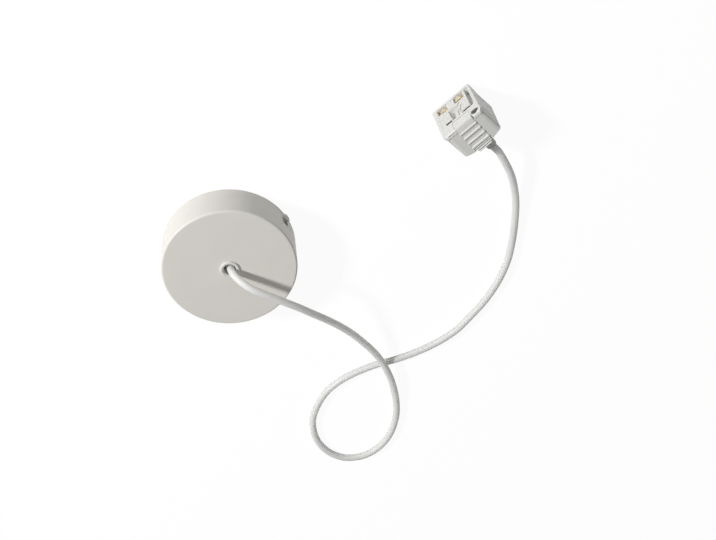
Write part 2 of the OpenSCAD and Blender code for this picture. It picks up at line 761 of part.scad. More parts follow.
module relief_clamp_screws() in_connector() color("silver")
    for (s = [-1, 1])
        translate([s * clamp2_screw_x, clamp2_start + clamp2_l / 2,
            cord_z + clamp_split / 2 + clamp2_depth])
            pan_screw(2.2, 1.2, clamp_screw_r, 2 * clamp2_depth);

// Bowed leaf of a contact in plan, with its ends on y = 0
module bow_plan() {
    r = (pow(contact_span / 2, 2) + pow(contact_bow, 2)) / (2 * contact_bow);
    intersection() {
        translate([0, r - contact_bow]) difference() {
            circle(r, $fn = 96);
            circle(r - contact_t, $fn = 96);
        }
        translate([-contact_span / 2, -contact_bow - 1])
            square([contact_span, contact_bow + 1]);
    }
}

// Middle of the terminal box that a leaf contact ends in
function box_x(x) = x - contact_span / 2 + tail_box / 2;
// Start of a leaf's tail behind the mouth
function tail_start(slant) = contact_back + contact_span / 2 * sin(slant) - 0.3;

// Leaf contact, turned by slant, with a tail that carries on to the screw terminal
module leaf_contact(x, slant) difference() {
    union() {
        translate([x, 0, contact_low]) linear_extrude(contact_h) {
            translate([0, contact_back]) rotate(-slant) bow_plan();
            translate([-contact_span / 2 * cos(slant), tail_start(slant)])
                square([contact_t, tail_end - tail_box + 0.5 - tail_start(slant)]);
        }
        translate([box_x(x) - tail_box / 2, tail_end - tail_box, box_low])
            cube(tail_box);
    }
    translate([box_x(x), tail_end - tail_box / 2, box_low + 1])
        cylinder(r = lead_d / 2 + fit_gap, h = tail_box + 5);
    hole_y([box_x(x), box_low + 2.4], 1.1 + fit_gap, tail_end - tail_box / 2,
        tail_end + 1);
}

module live_contact() in_connector() color("goldenrod") leaf_contact(live_x, live_slant);
module neutral_contact() in_connector() color("goldenrod") leaf_contact(neutral_x, 0);

module earth_contact() in_connector() color("goldenrod") difference() {
    union() {
        translate([earth_x_conn - 2.2, earth_leaf, earth_box_low + 0.5])
            cube([4.4, contact_t, 13]);
        translate([earth_x_conn - 2.2, earth_leaf, earth_box_low + 0.5])
            cube([4.4, tail_end - tail_box - earth_leaf + 1, contact_t]);
        translate([earth_x_conn - tail_box / 2, tail_end - tail_box, earth_box_low])
            cube([tail_box, tail_box, tail_box]);
    }
    translate([earth_x_conn, tail_end - tail_box / 2, earth_box_low + 1])
        cylinder(r = lead_d / 2 + fit_gap, h = tail_box + 5);
    hole_y([earth_x_conn, earth_box_low + 2.4], 1.1 + fit_gap, tail_end - tail_box / 2,
        tail_end + 1);
}

terminal_points = [[box_x(live_x), box_low], [box_x(neutral_x), box_low],
    [earth_x_conn, earth_box_low]];

module contact_screws() in_connector() color("silver")
    for (p = terminal_points)
        translate([p[0], tail_end, p[1] + 2.4]) rotate([-90, 0, 0])
            pan_screw(1.9, 1.2, 1.1, 1.2);

module carrier_front() translate([0, conn_floor + run_gap])
    round_rect(2 * (mouth_half - run_gap), mouth_top - conn_floor - 2 * run_gap, 1);

// Block of the carrier that stands in the mouth, from x0 to x1 and back to y1
module nose_block(x0, x1, y1) translate([x0, 0, 0]) rotate([90, 0, 90])
    linear_extrude(x1 - x0) polygon([[front_y(nose_low) + nose_back, nose_low],
        [y1, nose_low], [y1, nose_top], [front_y(nose_top) + nose_back, nose_top]]);

// Recess between the two blocks in plan; its far wall runs inwards
module arch_plan() polygon([[arch_left, -chin - 1], [arch_right + 0.8, -chin - 1],
    [arch_right, -1], [arch_right - arch_narrow, arch_end], [arch_left, arch_end]]);

// Hollow behind a block's front wall, from x0 to x1
module block_hollow(x0, x1, low) translate([x0, 0, 0]) rotate([90, 0, 90])
    linear_extrude(x1 - x0) polygon([[front_y(low) + nose_back + nose_skin + 0.6, low],
        [carrier_base - 1, low], [carrier_base - 1, nose_top + 1],
        [front_y(nose_top) + nose_back + nose_skin, nose_top + 1],
        [front_y(nose_top) + nose_back + nose_skin, nose_top]]);

// Slanted groove in a block's front, up from the point (x, z)
module fin_groove(x, z, turn, length) translate([x, front_y(z) - 1, z])
    rotate([0, turn, 0]) cube([0.7, nose_back + 4, length]);

module contact_carrier() in_connector() color("white") difference() {
    union() {
        nose_block(nose_left, nose_right, carrier_base + 0.1);
        translate([run_gap - mouth_half, nose_step, nose_low])
            cube([mouth_half - run_gap + nose_left + 1, carrier_base + 0.1 - nose_step,
                nose_top - nose_low]);
        nose_block(nose_right - 1, nose_far, mouth_step - run_gap);
        along_y(carrier_base, carrier_end) carrier_front();
    }
    difference() {
        translate([0, 0, arch_low]) linear_extrude(conn_h) arch_plan();
        translate([arch_left - 1, -chin - 1, 0])
            cube([1 + fin_right - arch_left, chin + 1 + arch_end, arch_low + 8]);
    }
    block_hollow(nose_left + 1, arch_left - 1, arch_low + 2);
    block_hollow(arch_right, nose_right - 1, arch_low + 2);
    for (p = [[live_x, live_slant], [neutral_x, 0]]) {
        translate([p[0] - contact_span / 2 - 0.4, -chin - 1, nose_low - 1])
            cube([contact_span + 0.8, chin + 1.6 + tail_start(p[1]), contact_h + 2.1]);
        translate([p[0] - contact_span / 2 * cos(p[1]) - run_gap, 0, contact_low - run_gap])
            cube([contact_t + 2 * run_gap, carrier_end + 1, contact_h + 2 * run_gap]);
    }
    translate([earth_x_conn - 2.2 - run_gap, earth_leaf - run_gap, earth_box_low])
        cube([4.4 + 2 * run_gap, carrier_end - earth_leaf + 1, contact_t + 1.2]);
    translate([earth_x_conn - 2.2 - run_gap, earth_leaf - run_gap, earth_box_low])
        cube([4.4 + 2 * run_gap, contact_t + 0.5, 14]);
    fin_groove(-4.6, 12.6, 40, 5.4);
    fin_groove(-5.8, 16.8, 30, 6);
}

module connector_lead(p, side, drop) tube_along(
    lead_points([core_r * side, cord_inner_end - fit_gap, cord_z + (side == 0 ? -1.6 : 0.9)],
        [0, -1.8, 0], [], [p[0], tail_end - tail_box / 2, p[1] + tail_box - lead_depth],
        [0, 0, -drop]), lead_d / 2 - fit_gap, 8);

module contact_live_lead() in_connector() color("saddlebrown")
    connector_lead(terminal_points[0], -1, 8);
module contact_neutral_lead() in_connector() color("steelblue")
    connector_lead(terminal_points[1], 1, 8);
module contact_earth_lead() in_connector() color("yellowgreen")
    connector_lead(terminal_points[2], 0, 2.4);

// Locking slide

spring_start = lug_end;
spring_l = spring_pocket_end - lug_end;
spring_z = lug_low + spring_coil_r + spring_wire_r + 0.1;
spring_steps = 14;
function spring_point(i) = let (t = i / (spring_turns * spring_steps))
    [spring_coil_r * cos(360 * i / spring_steps),
        spring_start + spring_wire_r + 0.05 + t * (spring_l - 2 * spring_wire_r - 0.1),
        spring_z + spring_coil_r * sin(360 * i / spring_steps)];

module slide_spring() in_connector() color("silver")
    tube_along([for (i = [0:spring_turns * spring_steps]) spring_point(i)],
        spring_wire_r, 6);

// Plan view of the slide's thumb end, with a round back
module thumb_plan() intersection() {
    translate([0, thumb_front + thumb_l - thumb_round]) circle(thumb_round, $fn = 96);
    translate([-slide_w / 2, thumb_front]) square([slide_w, thumb_l + 1]);
}

// Side view of the thumb end in y and z, with fine ribs down its back
module thumb_side() {
    back = thumb_front + thumb_l;
    square_top = slide_top - 1 - thumb_crown;
    translate([thumb_front, thumb_low]) square([thumb_l - 0.4, square_top - thumb_low]);
    translate([thumb_front, thumb_low])
        square([thumb_l - 0.4 - thumb_crown, slide_top - 1 - thumb_low]);
    translate([back - 0.4 - thumb_crown, square_top]) circle(thumb_crown);
    for (i = [0:2]) translate([back - 0.5, square_top - 0.6 - i * 2.2]) circle(0.5);
}

// Side view of the slide's front flange, which leans back with the collar
module flange_side() polygon([[front_y(flange_low) + 0.1, flange_low],
    [brow + flange_t, flange_low], [brow + flange_t, slide_top - 0.4],
    [brow + 1.6, slide_top - 0.2], [front_y(slide_top - 1.2) + 0.1, slide_top - 1.2]]);

module locking_slide() in_connector() color("lightgray") union() {
    translate([-slide_w / 2, brow + 1.4, plate_low])
        cube([slide_w, thumb_front - 1 - brow, plate_t - 0.4]);
    for (i = [0:3])
        translate([-slide_w / 2, first_rib + i * rib_pitch, slide_top - rib_r * 0.55])
            rotate([0, 90, 0]) cylinder(r = rib_r, h = slide_w);
    for (i = [0:2])
        translate([-slide_w / 2, thumb_front + 0.6 - i * 1.5, slide_top - 0.5 - i * 0.1])
            rotate([0, 90, 0]) cylinder(r = 0.45, h = slide_w);
    translate([-slide_w / 2, brow + 1.4, plate_low])
        cube([slide_w, first_rib - 2.4 - brow, plate_t - 0.2]);
    translate([-slide_w / 2, 0, 0]) rotate([90, 0, 90]) linear_extrude(slide_w)
        flange_side();
    translate([-tee_half, tee_start, tee_low])
        cube([2 * tee_half, tee_end - tee_start, tee_t]);
    translate([-slide_w / 2 + 1, tee_start, tee_low + 0.2])
        cube([slide_w - 2, tee_end - tee_start, plate_low - tee_low]);
    translate([-lug_w / 2, lug_start, lug_low])
        cube([lug_w, lug_end - lug_start, tee_low - lug_low + 1]);
    intersection() {
        translate([0, 0, thumb_low]) linear_extrude(slide_top - thumb_low) thumb_plan();
        translate([-slide_w / 2, 0, 0]) rotate([90, 0, 90]) linear_extrude(slide_w)
            thumb_side();
    }
}

canopy_cup();
mounting_strap();
side_screws();
cord_bushing();
bushing_nut();
cord_clamp_left();
cord_clamp_right();
cord_clamp_screws();
terminal_block();
terminal_tubes();
terminal_screws();
block_screws();
earth_screw();
earth_ring();
live_lead();
neutral_lead();
earth_lead();
earth_link();
supply_cord();
connector_shell();
rear_cover();
cover_screws();
strain_relief();
relief_clamp_lower();
relief_clamp_upper();
relief_clamp_screws();
contact_carrier();
live_contact();
neutral_contact();
earth_contact();
contact_screws();
contact_live_lead();
contact_neutral_lead();
contact_earth_lead();
slide_spring();
locking_slide();
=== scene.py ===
"""Looks for a ceiling power feed of a lighting track: canopy, looping cord and track connector.

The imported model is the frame. Each operator makes one piece, or one group of like pieces, with
its finish.
"""

import json
import math

import bmesh
import bpy
from mathutils import Matrix, Vector


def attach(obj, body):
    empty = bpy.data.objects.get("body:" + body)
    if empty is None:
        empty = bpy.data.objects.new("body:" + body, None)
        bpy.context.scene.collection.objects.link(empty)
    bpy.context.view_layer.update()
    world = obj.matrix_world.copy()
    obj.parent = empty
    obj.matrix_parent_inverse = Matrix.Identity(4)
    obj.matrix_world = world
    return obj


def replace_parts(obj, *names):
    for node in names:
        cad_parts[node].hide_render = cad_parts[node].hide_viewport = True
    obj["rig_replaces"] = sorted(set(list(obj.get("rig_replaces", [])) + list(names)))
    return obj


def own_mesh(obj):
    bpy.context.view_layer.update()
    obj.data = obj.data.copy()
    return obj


bl_info = {
    "name": "Track light power feed",
    "version": (1, 0, 0),
    "blender": (4, 5, 0),
    "location": "3D View > Sidebar > Power feed",
    "description": "Builds the looks of a canopy, its cord and its track connector "
                   "round the packed model",
    "category": "Object",
}

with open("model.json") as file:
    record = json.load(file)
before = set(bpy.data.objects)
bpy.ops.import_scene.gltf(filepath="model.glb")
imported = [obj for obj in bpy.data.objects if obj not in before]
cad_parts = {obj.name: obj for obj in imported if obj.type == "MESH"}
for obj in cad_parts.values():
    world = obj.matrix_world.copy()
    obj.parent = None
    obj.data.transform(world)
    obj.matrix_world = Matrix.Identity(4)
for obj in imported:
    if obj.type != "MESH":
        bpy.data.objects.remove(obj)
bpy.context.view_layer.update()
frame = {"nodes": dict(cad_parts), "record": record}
MM = 0.001

# Camera, in metres, millimetres of film and degrees. The feed is seen turned half round.
CAMERA_PLACE = (-0.3413, -0.5193, 0.9578)
CAMERA_HEADING = 23.0
CAMERA_DOWN = 55.408
CAMERA_ROLL = 180 - 9.72
SENSOR_WIDTH = 36.0
CLIP_RANGE = (0.05, 20.0)

# Floor and lights, in metres
FLOOR_REACH = 4
FLOOR_DROP = 0.0002
FLOOR_ROUGHNESS = 0.9
GLOW_STRENGTH = 1.06
GLOW_SHARE = 0.88
WHITE = (1, 1, 1, 1)
LIT_PLACE = (-0.1, 0.08, 0.0)
KEY_PLACE, KEY_SIZE = (0.9525, -1.423, 1.214), (0.24, 0.24)
FILL_PLACE, FILL_SIZE = (-1.2, -0.6, 1.2), (1.2, 0.9)

# Finishes: the middle part of a noise that is used, what white plastics share, and where the
# yellow of the earth lead begins as a share of its round
NOISE_LOW, NOISE_HIGH = 0.3, 0.7
PLASTIC_IOR = 1.5
MOULDING_IOR = 1.49
WHITE_SCATTER = (1.0, 0.98, 0.94)
YELLOW_STRIPE = 0.42

# Spacing of the nodes in a material's graph
NODE_WIDTH, NODE_HEIGHT, NODE_COLUMNS = 220, 180, 5

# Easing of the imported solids, in metres and degrees
WELD = 1e-6
FLAT_ANGLE = 0.6
EASED_CORNER = 28.0
ROUND_CORNER = 50.0
EASED_SEGMENTS = 2
SHARP_ANGLE = 40

# Where the connector lies, and the route of the cord's middle line from the canopy's clamp to
# the connector, in metres
CONNECTOR_PLACE = Vector((-0.2415, -0.016, 0.0))
CONNECTOR_TURN = math.radians(11.5)
CORD_ROUTE = [
    (0, 0, 0.0151), (0, 0, 0.02135), (0, 0, 0.0276),
    (-0.0006, 0.001, 0.0362), (-0.0025, 0.0043, 0.044), (-0.0059, 0.0099, 0.0502),
    (-0.0099, 0.0166, 0.0541), (-0.0146, 0.0245, 0.0556), (-0.02, 0.034, 0.0554),
    (-0.026, 0.046, 0.054), (-0.032, 0.06, 0.051), (-0.036, 0.073, 0.047),
    (-0.0395, 0.086, 0.042), (-0.043, 0.1, 0.0366), (-0.046, 0.115, 0.031),
    (-0.0484, 0.13, 0.026), (-0.05, 0.146, 0.0215), (-0.051, 0.166, 0.016),
    (-0.05, 0.187, 0.0114), (-0.046, 0.211, 0.0092), (-0.041, 0.227, 0.0068),
    (-0.034, 0.244, 0.0046), (-0.026, 0.258, 0.0036), (-0.016, 0.27, 0.0035),
    (-0.002, 0.281, 0.0035), (0.014, 0.287, 0.0035), (0.03, 0.287, 0.0035),
    (0.045, 0.28, 0.0035), (0.054, 0.268, 0.0035), (0.058, 0.25, 0.0035),
    (0.055, 0.232, 0.0035), (0.046, 0.215, 0.0035), (0.032, 0.202, 0.0035),
    (0.016, 0.193, 0.0035), (-0.002, 0.189, 0.0035), (-0.02, 0.189, 0.0035),
    (-0.04, 0.192, 0.0035), (-0.062, 0.198, 0.0035), (-0.085, 0.202, 0.0035),
    (-0.104, 0.203, 0.0035), (-0.125, 0.201, 0.0035), (-0.146, 0.194, 0.0035),
    (-0.167, 0.185, 0.0035), (-0.188, 0.172, 0.0035), (-0.206, 0.156, 0.0035),
    (-0.22, 0.138, 0.0035), (-0.231, 0.121, 0.004), (-0.24, 0.104, 0.0062),
    (-0.247, 0.085, 0.01), (-0.251, 0.068, 0.0144), (-0.2525, 0.052, 0.0184),
]

# The cord's last points lie along the connector, given by depth behind its mouth and height
CORD_IN_CONNECTOR = [(0.056, 0.0204), (0.048, 0.021), (0.0295, 0.021), (0.0208, 0.021)]
CORD_STEP = 0.002
CORD_SIDES = 28

# The cord's cores, and the length in which they turn once
CORES = 3
CORE_LAY = 0.055

# Inner leads in millimetres: start, way out, points between, end, way in. Those of the
# connector are in its own frame.
LEADS = {
    "live_lead": ((1.149, 0.964, 15.05), (0, 0, -4.2), [(14, -16, 5), (-4, -40, 4)],
                  (-32, -5, 6.7), (0, 23, 0)),
    "neutral_lead": ((0.26, -1.477, 15.05), (0, 0, -4.2), [(3, -12, 6), (-8, -28, 7)],
                     (-23, -5, 6.7), (0, 15, 0)),
    "earth_lead": ((-1.41, 0.513, 15.05), (0, 0, -4.2), [(-2, -8, 9), (-5, -17, 9)],
                   (-14, -5, 6.7), (0, 9, 0)),
    "earth_link": ((-14, 5, 6.7), (0, 12, 0), [(-4, 26, 6)], (20.594, 3.786, 3.7),
                   (6.553, -4.589, 0)),
}
CONNECTOR_LEADS = {
    "contact_live_lead": ((-1.5, 20.75, 21.9), (0, -1.8, 0), [], (-7.2, 17.5, 10.5), (0, 0, -8)),
    "contact_neutral_lead": ((1.5, 20.75, 21.9), (0, -1.8, 0), [], (10.2, 17.5, 10.5),
                             (0, 0, -8)),
    "contact_earth_lead": ((0, 20.75, 19.4), (0, -1.8, 0), [], (0.85, 17.5, 13.5),
                           (0, 0, -2.4)),
}

# Straight ends of a lead in millimetres, its steps and its sides
LEAD_OUT, LEAD_IN = 0.8, 1.6
LEAD_STEPS = 48
LEAD_SIDES = 20

# The slide's spring, in metres of the connector's own frame
SPRING = {"coil": 0.00175, "start": 0.0124, "end": 0.023, "height": 0.0353, "turns": 7}
SPRING_STEPS = 40
SPRING_SIDES = 10

# Fine forms of the connector, in millimetres of its own frame: width across the mouth, depth
# behind it and height. A box is given by two corners, and what is closer than NEAR is one place.
NEAR = 0.02
ARC_STEPS = 10

# Draft of the housing's sides: a side moves in full at the second half width and not at all at
# the first. The right side is the one at positive width.
COLLAR_BACK = 6.1
RIGHT_COLLAR, LEFT_COLLAR = (18.2, 19.7), (18.2, 19.3)
RIGHT_COLLAR_DRAFT = 0.9
RIGHT_COLLAR_DEPTHS = (-2.0, 5.0)
LEFT_COLLAR_HEIGHTS = (0.0, 24.0)
BODY_WALL = (15.6, 18.0)
RIGHT_BODY_SWELL, RIGHT_BODY_SLOPE = 2.5, 0.075
LEFT_BODY_SLOPE, LEFT_BODY_START, LEFT_BODY_SPREAD = 0.024, 4, 0.035

# Guide hole in the housing's corner, the well behind it and the groove in the collar
GUIDE_HOLE = {"width": 6.8, "height": 5.4, "middle": (-13.3, 38.2)}
GUIDE_HOLE_DEPTHS = (-4.0, 6.0)
GUIDE_WELL = ((-17.1, 2.3, 32.4), (-10.6, 12.0, 38.4))
COLLAR_GROOVE = ((9.2, 3.45, 39.2), (17.0, 4.2, 43.0))

# Contact carrier: where the blocks' undersides and outer side lie and where they move to, the
# front of the block that stands flush, the cheeks of the earth slit, and the filled corner
BLOCK_BACK = 11.0
UNDERSIDE, LOWERED_UNDERSIDE = 4.2, 3.06
TOE_BACK, TOE_SHIFT = 2.0, 0.147
BLOCK_SIDE, WIDER_SIDE = 17.6, 17.78
FLUSH_BLOCK_SIDE, FLUSH_SHIFT = 8.3, 0.65
FRONT_LEAN, FRONT_FOOT = 0.1286, 2.1
SLIT_MIDDLE, CHEEK_OFFSET, CHEEK_HALF = 0.85, 1.65, 1.25
CHEEK_DEPTHS, CHEEK_HEIGHTS = (4.1, 4.75), (12.9, 29.2)
FILLED_CORNER = [(0.44, 25.6), (4.6, 25.6), (4.6, 29.3), (0.92, 29.3)]
FILLED_CORNER_SIDES = (13.9, 17.75)

# Thumb end of the locking slide: the cut that flattens its top, its taper, and its ridges by
# depth and height
THUMB_CUT = ((-9.5, 28.15, 40.9), (9.5, 36.5, 43.5))
THUMB_RINGS = (29.0, 30.4, 31.8)
THUMB_RING_REACH = 1e-4
THUMB_WELD = 0.15
THUMB_HEIGHT, THUMB_BACK = 39.4, 32.0
TAPER, TAPER_START, TAPER_LENGTH, TAPER_POWER = 0.36, 27.0, 8.0, 1.5
RIDGES = ((28.9, 41.3), (31.2, 41.15), (33.4, 40.8))
RIDGE_RADIUS, RIDGE_HALF, RIDGE_SIDES = 0.62, 8.64, 16

SLOT_OF = {s["node"]: s["material_slot"] for s in frame["record"]["subparts"]}
BODY_OF = {n: b for b, ns in frame["record"]["behaviour"]["bodies"].items() for n in ns}


# Sizes and colours


def length(name, description, default):
    """A length in metres that a user can change."""
    return bpy.props.FloatProperty(name=name, description=description, default=default,
                                   min=0.0, unit="LENGTH", precision=5)


def colour(name, description, default):
    """A linear colour that a user can change."""
    return bpy.props.FloatVectorProperty(name=name, description=description, size=3,
                                         default=default, min=0.0, max=1.0, subtype="COLOR")


class FeedSizes(bpy.types.PropertyGroup):
    """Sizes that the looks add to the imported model."""

    cord_diameter: length("Cord diameter", "Outside diameter of the round cord", 0.0068)
    lead_diameter: length("Lead diameter", "Outside diameter of the inner leads", 0.0021)
    spring_wire: length("Spring wire", "Diameter of the spring's wire", 0.0007)
    moulded_edge: length("Moulded edge", "Width of the eased edges of moulded plastic", 0.00028)
    sheet_edge: length("Sheet edge", "Width of the eased edges of cut sheet metal", 0.00018)
    screw_edge: length("Screw edge", "Width of the eased edges of screw heads", 0.00010)
    cord_ripple: length("Cord ripple", "How far the cores show through the sheath", 0.00004)


class FeedColours(bpy.types.PropertyGroup):
    """Colours of the finishes."""

    powder: colour("Powder coat", "Warm white coat of the canopy", (0.80, 0.775, 0.725))
    sheath: colour("Cord sheath", "White sheath of the cord", (0.86, 0.853, 0.822))
    housing: colour("Housing", "White plastic of the connector", (0.77, 0.765, 0.74))
    terminal: colour("Terminal plastic", "Plastic of the terminal block", (0.78, 0.765, 0.71))
    brass: colour("Brass", "Brass of the contacts", (0.80, 0.67, 0.47))
    zinc: colour("Zinc", "Zinc plating of screws and strap", (0.63, 0.64, 0.655))
    brown: colour("Live lead", "Brown insulation", (0.105, 0.035, 0.014))
    blue: colour("Neutral lead", "Blue insulation", (0.012, 0.075, 0.33))
    green: colour("Earth green", "Green of the earth lead", (0.02, 0.24, 0.035))
    yellow: colour("Earth yellow", "Yellow of the earth lead", (0.82, 0.61, 0.03))
    floor: colour("Floor", "Pale floor under the feed", (0.76, 0.76, 0.76))


class FeedStage(bpy.types.PropertyGroup):
    """Camera and light."""

    lens: bpy.props.FloatProperty(name="Lens", description="Focal length of the camera",
                                  default=63.135, min=10.0, unit="CAMERA")
    key: bpy.props.FloatProperty(name="Key", description="Power of the side light",
                                 default=37.0, min=0.0)
    fill: bpy.props.FloatProperty(name="Fill", description="Power of the near light",
                                  default=1.0, min=0.0)
    room: bpy.props.FloatProperty(name="Room", description="Brightness of the white room",
                                  default=0.21, min=0.0)


def sizes():
    """The sizes that are set in the scene."""
    return bpy.context.scene.feed_sizes


def colours():
    """The colours that are set in the scene."""
    return bpy.context.scene.feed_colours


# Shader helpers


class Shader:
    """A new material with its Principled BSDF, and short ways to add nodes."""

    def __init__(self, name):
        self.material = bpy.data.materials.new(name)
        self.material.use_nodes = True
        self.nodes = self.material.node_tree.nodes
        self.links = self.material.node_tree.links
        self.surface = self.nodes["Principled BSDF"]
        self.spots = 0

    def node(self, kind, **values):
        """Adds a node and sets constants on its sockets."""
        made = self.nodes.new(kind)
        self.spots += 1
        row, column = divmod(self.spots, NODE_COLUMNS)
        made.location = (-NODE_WIDTH * (1 + column), NODE_WIDTH - NODE_HEIGHT * row)
        for key, value in values.items():
            made.inputs[key.replace("_", " ")].default_value = value
        return made

    def join(self, start, end):
        self.links.new(start, end)

    def plain(self, **values):
        """Sets constants on the surface's own sockets."""
        for key, value in values.items():
            socket = self.surface.inputs[key.replace("_", " ")]
            socket.default_value = (*value, 1.0) if socket.type == "RGBA" else value

    def place(self, stretch=(1, 1, 1), kind="Object"):
        """Coordinates in metres, or the UV map's, stretched for grain that has a direction."""
        where = self.node("ShaderNodeTexCoord")
        mapping = self.node("ShaderNodeMapping", Scale=stretch)
        self.join(where.outputs[kind], mapping.inputs["Vector"])
        return mapping.outputs["Vector"]

    def noise(self, where, scale, detail=3.0, rough=0.5):
        made = self.node("ShaderNodeTexNoise", Scale=scale, Detail=detail, Roughness=rough)
        self.join(where, made.inputs["Vector"])
        return made.outputs["Fac"]

    def spread(self, value, low, high):
        """Maps the middle part of a noise to a range."""
        made = self.node("ShaderNodeMapRange", From_Min=NOISE_LOW, From_Max=NOISE_HIGH,
                         To_Min=low, To_Max=high)
        self.join(value, made.inputs["Value"])
        return made.outputs["Result"]

    def shades(self, value, shade, dimmed):
        """Runs between a colour that is dimmed to a share of itself and the colour itself."""
        ramp = self.node("ShaderNodeValToRGB")
        dark, light = ramp.color_ramp.elements
        dark.position, light.position = NOISE_LOW, NOISE_HIGH
        dark.color = (*(channel * dimmed for channel in shade), 1.0)
        light.color = (*shade, 1.0)
        self.join(value, ramp.inputs["Fac"])
        return ramp.outputs["Color"]

    def bump(self, height, strength, distance, under=None):
        """Fine relief, distance in metres, that may lie on another one under it."""
        made = self.node("ShaderNodeBump", Strength=strength, Distance=distance)
        self.join(height, made.inputs["Height"])
        if under is not None:
            self.join(under, made.inputs["Normal"])
        return made.outputs["Normal"]

    def finish(self, colour, roughness, normal):
        """Joins what varies to the surface and gives its material."""
        self.join(colour, self.surface.inputs["Base Color"])
        self.join(roughness, self.surface.inputs["Roughness"])
        self.join(normal, self.surface.inputs["Normal"])
        return self.material


# Finishes


def powder_coat():
    """Satin powder coat with its fine orange peel."""
    s = Shader("powder_coat")
    where = s.place()
    tint = s.shades(s.noise(where, scale=35.0), colours().powder, dimmed=0.975)
    rough = s.spread(s.noise(where, scale=160.0), low=0.40, high=0.50)
    peel = s.bump(s.noise(where, scale=900.0, detail=2.0), strength=0.22, distance=0.00005)
    grain = s.bump(s.noise(where, scale=3800.0, detail=1.0), strength=0.12, distance=0.00002,
                   under=peel)
    s.plain(IOR=PLASTIC_IOR)
    return s.finish(tint, rough, grain)


def moulded_plastic(name, shade, roughness):
    """Moulded plastic with a fine spark-eroded grain and faint flow marks."""
    s = Shader(name)
    where = s.place()
    tint = s.shades(s.noise(where, scale=60.0, detail=4.0), shade, dimmed=0.965)
    rough = s.spread(s.noise(where, scale=420.0), *roughness)
    along = s.place(stretch=(1.0, 0.25, 1.0))
    flow = s.bump(s.noise(along, scale=210.0, detail=2.0), strength=0.10, distance=0.00006)
    grain = s.bump(s.noise(where, scale=5200.0, detail=2.0), strength=0.16, distance=0.00002,
                   under=flow)
    s.plain(IOR=MOULDING_IOR, Subsurface_Weight=0.15, Subsurface_Scale=0.0008,
            Subsurface_Radius=WHITE_SCATTER)
    return s.finish(tint, rough, grain)


def cord_sheath():
    """Soft satin sheath with shallow marks and a fine grain."""
    s = Shader("cord_sheath")
    where = s.place()
    tint = s.shades(s.noise(where, scale=48.0, detail=4.0), colours().sheath, dimmed=0.955)
    rough = s.spread(s.noise(where, scale=240.0), low=0.46, high=0.58)
    sheath = s.place(stretch=(900.0, 26.0, 1.0), kind="UV")
    marks = s.bump(s.noise(sheath, scale=1.0, detail=2.0), strength=0.05, distance=0.00004)
    grain = s.bump(s.noise(where, scale=1400.0, detail=2.0), strength=0.04, distance=0.00002,
                   under=marks)
    s.plain(IOR=PLASTIC_IOR, Subsurface_Weight=0.7, Subsurface_Scale=0.014,
            Subsurface_Radius=WHITE_SCATTER)
    return s.finish(tint, rough, grain)


def brushed_metal(name, shade, roughness, stretch):
    """Plated or drawn metal with fine lines along one direction."""
    s = Shader(name)
    lines = s.noise(s.place(stretch), scale=900.0, detail=4.0, rough=0.6)
    tint = s.shades(s.noise(s.place(), scale=120.0), shade, dimmed=0.86)
    rough = s.spread(lines, *roughness)
    s.plain(Metallic=1.0)
    return s.finish(tint, rough, s.bump(lines, strength=0.12, distance=0.00002))


def glossy(s, tint):
    """Glossy PVC of one tint, with the faint unevenness of an inner lead."""
    where = s.place()
    rough = s.spread(s.noise(where, scale=800.0), low=0.30, high=0.42)
    return s.finish(tint, rough, s.bump(s.noise(where, scale=1500.0), strength=0.10,
                                        distance=0.00003))


def insulation(name, shade):
    """Insulation of one colour."""
    s = Shader(name)
    return glossy(s, s.shades(s.noise(s.place(), scale=300.0), shade, dimmed=0.85))


def striped_insulation():
    """Green and yellow insulation, striped along the lead."""
    s = Shader("insulation_green_yellow")
    split = s.node("ShaderNodeSeparateXYZ")
    s.join(s.place(kind="UV"), split.inputs["Vector"])
    ramp = s.node("ShaderNodeValToRGB")
    ramp.color_ramp.interpolation = "CONSTANT"
    green, yellow = ramp.color_ramp.elements
    green.color = (*colours().green, 1.0)
    yellow.position, yellow.color = YELLOW_STRIPE, (*colours().yellow, 1.0)
    s.join(split.outputs["Y"], ramp.inputs["Fac"])
    return glossy(s, ramp.outputs["Color"])


FINISH_MAKERS = {
    "powder_white": powder_coat,
    "white_plastic": lambda: moulded_plastic("housing_plastic", colours().housing,
                                             roughness=(0.36, 0.48)),
    "terminal_plastic": lambda: moulded_plastic("terminal_plastic", colours().terminal,
                                                roughness=(0.45, 0.6)),
    "cord_white": cord_sheath,
    "zinc_steel": lambda: brushed_metal("zinc_plating", colours().zinc,
                                        roughness=(0.28, 0.42), stretch=(1, 0.06, 1)),
    "brass": lambda: brushed_metal("contact_brass", colours().brass,
                                   roughness=(0.20, 0.34), stretch=(1, 1, 0.08)),
    "lead_brown": lambda: insulation("insulation_brown", colours().brown),
    "lead_blue": lambda: insulation("insulation_blue", colours().blue),
    "lead_green_yellow": striped_insulation,
}
FINISHES = {}


def finish_of(slot):
    """The one material of a slot, made when it is first asked for."""
    if slot not in FINISHES:
        FINISHES[slot] = FINISH_MAKERS[slot]()
    return FINISHES[slot]


# Mesh helpers


def new_piece(name, mesh, node):
    """Puts a mesh in the scene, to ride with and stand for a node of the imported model."""
    slot = SLOT_OF[node]
    piece = bpy.data.objects.new(name, mesh)
    bpy.context.scene.collection.objects.link(piece)
    mesh.materials.clear()
    mesh.materials.append(finish_of(slot))
    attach(piece, BODY_OF[node])
    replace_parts(piece, node)
    return piece


